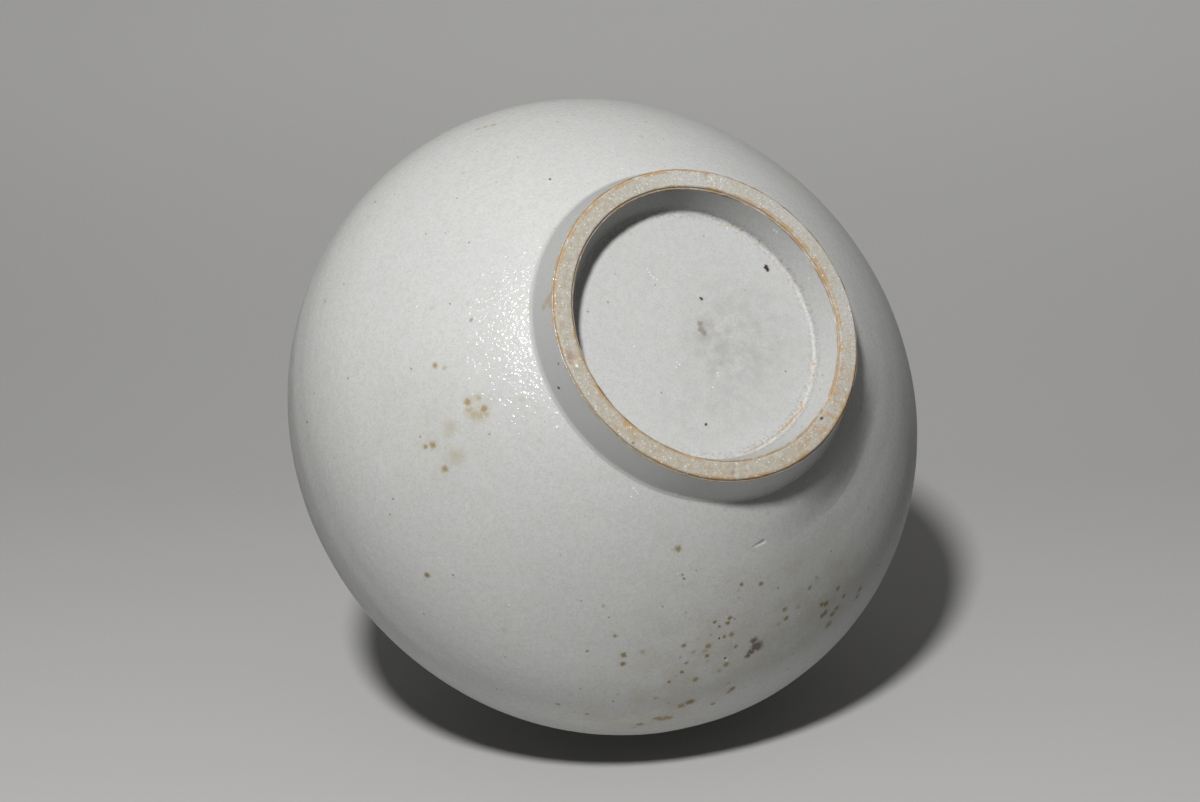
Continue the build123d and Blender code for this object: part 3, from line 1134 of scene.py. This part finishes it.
def floor_finish():
    """Pale matt floor, seen from its upper side only, paler up the sweep as painted light."""
    finish = new_finish("pale_floor")
    cloud = finish.times(finish.noise(floor_cloud_size, 2.0), floor_cloud_share)
    # Painted light: the colour grows paler up the sweep
    rise = finish.combine("SUBTRACT", finish.ramp(finish.height(), 0, sweep_rise), cloud)
    finish.shade("Base Color", finish.mix(rise, floor_pale, sweep_pale_painted_light))
    finish.shade("Roughness", floor_roughness)
    finish.shade("Specular IOR Level", floor_shine)
    front = finish.shader.outputs["BSDF"]
    clear = finish.add("ShaderNodeBsdfTransparent").outputs["BSDF"]
    side = finish.add("ShaderNodeNewGeometry").outputs["Backfacing"]
    both = finish.add("ShaderNodeMixShader", {0: side, 1: front, 2: clear})
    finish.put(both.outputs["Shader"], finish.nodes["Material Output"].inputs["Surface"])
    return finish.owner


def dress(piece, finish, slot, *nodes):
    """Give a finished piece its material and its place in the jar."""
    piece.data.materials.clear()
    piece.data.materials.append(finish)
    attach(piece, "root")
    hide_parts(*nodes)


def light_world():
    """Soft light all round, paler from above, and a plain backdrop for what is seen past the floor."""
    world = bpy.data.worlds.new("studio")
    bpy.context.scene.world = world
    room = Recipe(world, "Generated")
    ray = room.add("ShaderNodeLightPath").outputs
    shown = room.combine("MAXIMUM", ray["Is Camera Ray"], ray["Is Glossy Ray"])
    shown = room.combine("MAXIMUM", shown, ray["Is Transmission Ray"])
    height = room.vector("DOT_PRODUCT", room.place, up, "Value")
    share = room.add("ShaderNodeMapRange", {"Value": height, "From Min": -1}).outputs["Result"]
    tone = room.mix(shown, room.mix(share, room_below, room_above), backdrop_tone)
    room.put(tone, room.nodes["Background"].inputs["Color"])


# Pieces, drawn upright and true, then drawn out of round together
outer_glaze = draw_outer_glaze()
inner_glaze = draw_inner_glaze()
well_glaze = draw_well_glaze()
foot_ring = draw_foot_ring()
score_turning_rings(outer_glaze)
soften_with_texture(outer_glaze, "hand_dents", dent_size, dent_depth)
soften_with_texture(foot_ring, "pad_grain", pad_grain_size, pad_grain_depth)
wave_glaze_edge(outer_glaze, outer_wave_start)
wave_glaze_edge(well_glaze, well_wave_start)
clay = {node: copy_clay(node) for node in ("lower_bowl", "upper_bowl", "mouth_collar")}
slips = {node: copy_clay(node) for node in ("belly_slip", "foot_slip", "collar_slip")}
drawn = [outer_glaze, inner_glaze, well_glaze, foot_ring]
cage = make_kiln_cage()
for piece in drawn + list(clay.values()) + list(slips.values()):
    warp(piece, cage)
bpy.data.objects.remove(cage)

# What hands and knocks did to the form, found by sight from the photograph
shown = (outer_glaze, well_glaze, foot_ring)
_, slump_middle, slump_out = look(sight_trees(shown), *slump_place)
for piece in (outer_glaze, clay["lower_bowl"], inner_glaze):
    slump(piece, slump_middle, -slump_out)
trees = sight_trees(shown)
_, cut_start, cut_out = look(trees, *cut_from)
_, cut_end, _ = look(trees, *cut_to)
refine(outer_glaze, (cut_start + cut_end) / 2, cut_refined, cut_divisions)
press_line(outer_glaze, cut_start, cut_end, -cut_out, cut_reach, cut_depth)
for middle, reach, depth in look_all(trees, pad_chips):
    for vertex in foot_ring.data.vertices:
        vertex.co.z += depth * mm * near_share((vertex.co - middle).length, reach)
trees = sight_trees(shown)

# Marks that the kiln left, and the painted glints of pits
marks = {piece: [] for piece in shown}
for colour, halo, spots in kiln_marks_and_pit_glints:
    for x, y, reach in spots:
        piece, middle, _ = look(trees, x, y)
        marks[piece].append((middle, reach * mm, colour, halo))
for piece, found in marks.items():
    spot_marks(piece, found)

clay_body = clay_finish("porcelain_body", bare_white, bare_buff)
slip_body = clay_finish("joining_slip", bare_white, grit_grey)
outer_white = outer_finish(look_all(trees, body_stain_places))
well_white = well_finish(look_all(trees, well_smudge_and_shade_places))
bare_clay = bare_clay_finish(look_all(trees, pad_flash_places), look_all(trees, pad_clean_places))
dress(outer_glaze, outer_white, "glaze", "outer_glaze")
dress(inner_glaze, inner_finish(), "glaze", "inner_glaze")
dress(well_glaze, well_white, "glaze", "foot_well_glaze")
dress(foot_ring, bare_clay, "porcelain", "foot_ring")
for node, piece in clay.items():
    dress(piece, clay_body, "porcelain", node)
for node, piece in slips.items():
    dress(piece, slip_body, "slip", node)

place_camera()
floor = place_floor(drawn)
floor.data.materials.append(floor_finish())
place_lamp("key", key_place, key_size, key_watts * (1 - bounced_share))
place_lamp("key_bounced", key_place, key_size, key_watts * bounced_share, bounces=1)
shine_through(place_lamp("floor_glow", glow_place, glow_size, glow_watts), floor)
shine_through(place_lamp("far_side", far_place, far_size, far_watts), floor)
shine_through(place_mouth_lamp(), floor)
light_world()
bpy.context.scene.view_settings.view_transform = "Standard"
